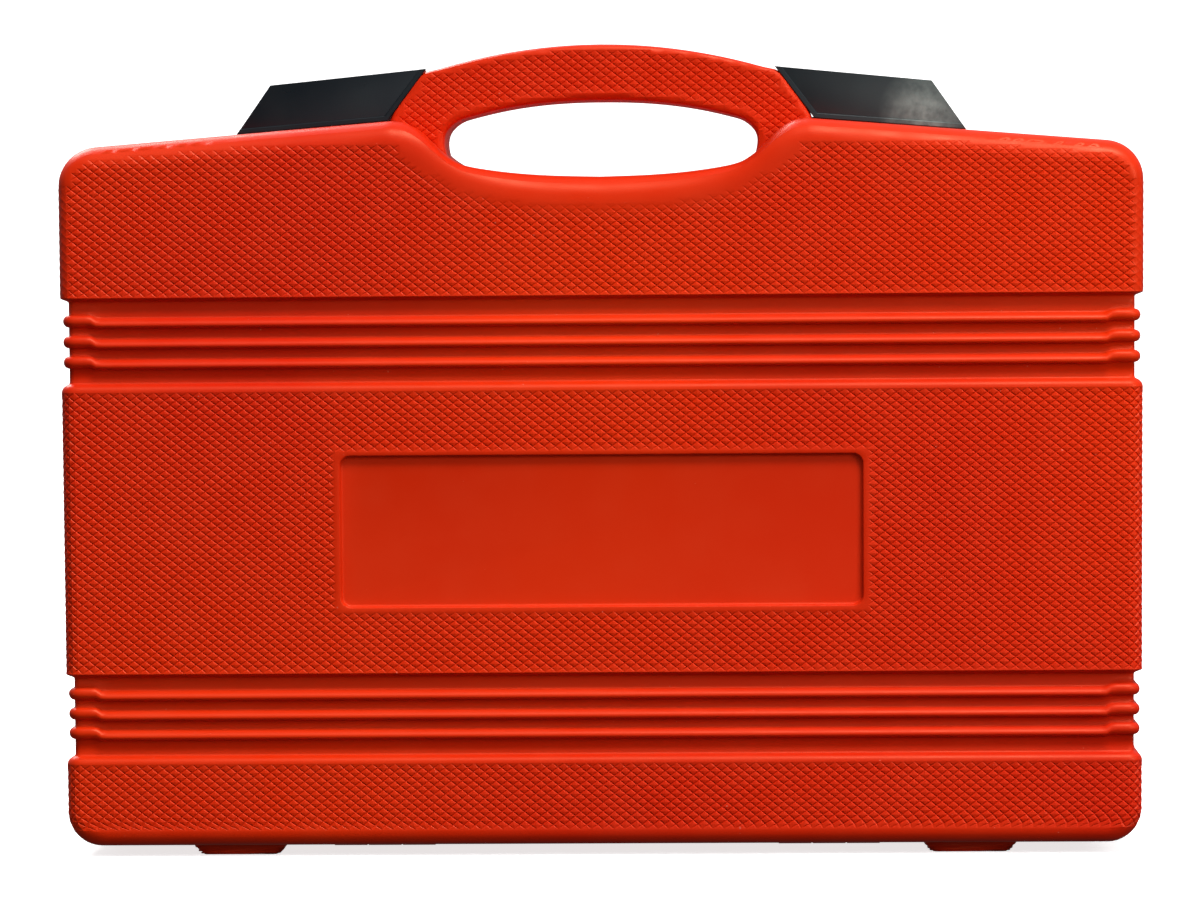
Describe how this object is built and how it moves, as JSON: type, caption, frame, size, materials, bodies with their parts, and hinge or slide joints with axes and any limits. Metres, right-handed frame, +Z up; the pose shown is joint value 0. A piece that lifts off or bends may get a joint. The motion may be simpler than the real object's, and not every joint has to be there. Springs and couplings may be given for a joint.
{
  "type": "socket wrench set in case",
  "caption": "Moulded carrying case with a handle and flip latches, holding a socket wrench set: sockets, reversible ratchet, extension bars, universal joint and sliding T-handle.",
  "frame": {"origin": "middle of the closed case's footprint, on the surface that its feet stand on", "axes": "+Z up, X across the width of the case, -Y towards the front, which is the lid"},
  "size_m": [0.39, 0.084, 0.2924],
  "materials": {
    "case_plastic": "red-orange moulded polyethylene, diamond texture",
    "latch_plastic": "smooth black polypropylene",
    "tray_plastic": "black moulded sheet",
    "chrome": "satin chrome plate on tool steel",
    "steel": "plain hardened steel",
    "grip_rubber": "black moulded grip"
  },
  "bodies": {
    "base": {"base_shell": "case_plastic", "tool_tray": "tray_plastic", "hinge_pin_left": "steel", "hinge_pin_right": "steel", "latch_pin_left": "steel", "latch_pin_right": "steel", "socket_10": "chrome", "socket_11": "chrome", "socket_12": "chrome", "socket_13": "chrome", "socket_14": "chrome", "socket_15": "chrome", "socket_16": "chrome", "socket_17": "chrome", "socket_18": "chrome", "socket_19": "chrome", "socket_20": "chrome", "socket_21": "chrome", "socket_22": "chrome", "socket_24": "chrome", "socket_27": "chrome", "socket_30": "chrome", "socket_32": "chrome", "spark_plug_socket_16": "chrome", "spark_plug_socket_21": "chrome", "extension_bar_125": "chrome", "extension_bar_250": "chrome", "extension_125_ball": "steel", "extension_250_ball": "steel", "joint_socket_yoke": "chrome", "t_handle_bar": "chrome", "t_handle_stop_left": "steel", "t_handle_stop_right": "steel", "ratchet_body": "chrome", "ratchet_grip": "grip_rubber", "ratchet_cover": "chrome", "ratchet_screw_1": "steel", "ratchet_screw_2": "steel", "ratchet_screw_3": "steel", "ratchet_screw_4": "steel"},
    "lid": {"lid_shell": "case_plastic"},
    "latch_left": {"latch_left": "latch_plastic"},
    "latch_right": {"latch_right": "latch_plastic"},
    "drive_gear": {"ratchet_drive_gear": "steel", "ratchet_ball": "steel"},
    "release_button": {"ratchet_release_button": "steel"},
    "reversing_lever": {"ratchet_reversing_lever": "chrome"},
    "pawl": {"ratchet_pawl": "steel"},
    "joint_cross": {"joint_cross": "steel", "joint_long_pin": "steel", "joint_short_pin_front": "steel", "joint_short_pin_rear": "steel"},
    "joint_drive": {"joint_drive_yoke": "chrome", "joint_ball": "steel"},
    "t_handle_head": {"t_handle_head": "chrome", "t_handle_ball": "steel"}
  },
  "joints": [
    {"name": "lid_hinge", "type": "hinge", "parent": "base", "child": "lid", "pos_m": [0, 0, 0.004], "axis": [1, 0, 0], "range_deg": [0, 150]},
    {"name": "latch_left_flip", "type": "hinge", "parent": "base", "child": "latch_left", "pos_m": [-0.102, 0.012, 0.27086], "axis": [-0.9963, 0, -0.0864], "range_deg": [0, 95]},
    {"name": "latch_right_flip", "type": "hinge", "parent": "base", "child": "latch_right", "pos_m": [0.102, 0.012, 0.27086], "axis": [-0.9963, 0, 0.0864], "range_deg": [0, 95]},
    {"name": "ratchet_drive_spin", "type": "hinge", "parent": "base", "child": "drive_gear", "pos_m": [-0.153, 0, 0.146], "axis": [0, 1, 0], "continuous": true},
    {"name": "release_button_press", "type": "slide", "parent": "drive_gear", "child": "release_button", "axis": [0, 1, 0], "range_m": [0, 0.002], "stiffness_N_per_m": 600, "springref_m": -0.003},
    {"name": "reversing_lever_turn", "type": "hinge", "parent": "base", "child": "reversing_lever", "pos_m": [-0.1345, 0, 0.146], "axis": [0, 1, 0], "range_deg": [-25, 25]},
    {"name": "pawl_rock", "type": "hinge", "parent": "base", "child": "pawl", "pos_m": [-0.1345, 0, 0.146], "axis": [0, 1, 0], "range_deg": [-12.5, 12.5]},
    {"name": "joint_cross_turn", "type": "hinge", "parent": "base", "child": "joint_cross", "pos_m": [0.134, 0.01, 0.149], "axis": [0, 0, 1], "range_deg": [-30, 30]},
    {"name": "joint_drive_tilt", "type": "hinge", "parent": "joint_cross", "child": "joint_drive", "pos_m": [0.134, 0.01, 0.149], "axis": [0, 1, 0], "range_deg": [-30, 30]},
    {"name": "t_handle_head_slide", "type": "slide", "parent": "base", "child": "t_handle_head", "axis": [1, 0, 0], "range_m": [-0.109, 0.109]}
  ],
  "couplings": [
    {"joint": "pawl_rock", "follows": "reversing_lever_turn", "ratio": 0.48}
  ]
}
